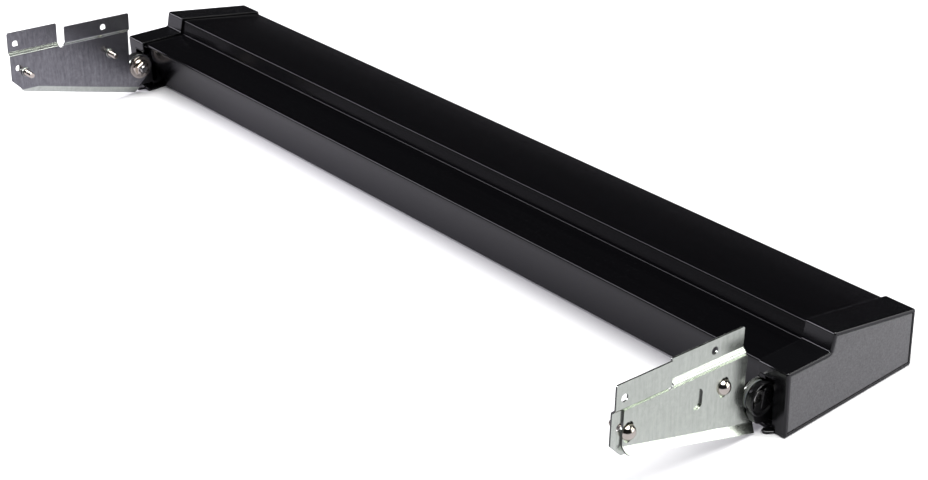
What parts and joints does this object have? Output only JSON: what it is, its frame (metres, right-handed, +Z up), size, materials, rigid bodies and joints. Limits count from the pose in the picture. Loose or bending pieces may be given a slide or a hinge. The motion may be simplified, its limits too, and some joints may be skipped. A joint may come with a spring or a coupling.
{
  "type": "capped rail with tilting side brackets",
  "caption": "Long stepped hollow rail with moulded end caps, held at each end by a tilting, height-adjustable sheet-steel side bracket.",
  "frame": {"origin": "under the middle of the rail's front edge, on the plane that the end caps stand on", "axes": "+X along the rail to its right end, -Y to the front where the brackets reach, +Z up"},
  "size_m": [0.914, 0.2998, 0.1075],
  "materials": {
    "black_anodised": "satin black anodised, long straight drawing lines",
    "black_moulding": "moulded black, satin, rounded rims",
    "textured_inlay": "fine spark-eroded texture",
    "black_lug": "moulded black, semi gloss",
    "galvanised_steel": "zinc coated sheet with fine rolling streaks and faint spangle",
    "nickel_plate": "bright nickel plate, slightly warm",
    "bright_steel": "bright turned steel",
    "zinc_screw": "zinc plated",
    "nylon": "grey nylon"
  },
  "bodies": {
    "rail": {"rail_profile": "black_anodised", "left_end_cap": "black_moulding", "left_end_panel": "textured_inlay", "left_cap_screws": "zinc_screw", "left_hinge_lug": "black_lug", "left_lug_screws": "zinc_screw", "left_pivot_bolt": "bright_steel", "left_pivot_nut": "nickel_plate", "left_pivot_washer": "nickel_plate", "left_friction_washer": "nylon", "right_end_cap": "black_moulding", "right_end_panel": "textured_inlay", "right_cap_screws": "zinc_screw", "right_hinge_lug": "black_lug", "right_lug_screws": "zinc_screw", "right_pivot_bolt": "bright_steel", "right_pivot_nut": "nickel_plate", "right_pivot_washer": "nickel_plate", "right_friction_washer": "nylon"},
    "left_bracket_arm": {"left_arm": "galvanised_steel"},
    "left_bracket_plate": {"left_plate": "galvanised_steel", "left_clamp_bolts": "nickel_plate"},
    "right_bracket_arm": {"right_arm": "galvanised_steel"},
    "right_bracket_plate": {"right_plate": "galvanised_steel", "right_clamp_bolts": "nickel_plate"}
  },
  "joints": [
    {"name": "left_arm_tilt", "type": "hinge", "parent": "rail", "child": "left_bracket_arm", "pos_m": [-0.43125, -0.0055, 0.0295], "axis": [-1, 0, 0], "range_deg": [-14.5, 11.5]},
    {"name": "left_plate_lift", "type": "slide", "parent": "left_bracket_arm", "child": "left_bracket_plate", "axis": [0, 0.0785, 0.9969], "range_m": [-0.005, 0.0005]},
    {"name": "right_arm_tilt", "type": "hinge", "parent": "rail", "child": "right_bracket_arm", "pos_m": [0.43125, -0.0055, 0.0295], "axis": [-1, 0, 0], "range_deg": [-14, 12]},
    {"name": "right_plate_lift", "type": "slide", "parent": "right_bracket_arm", "child": "right_bracket_plate", "axis": [0, 0.0698, 0.9976], "range_m": [-0.0005, 0.005]}
  ]
}
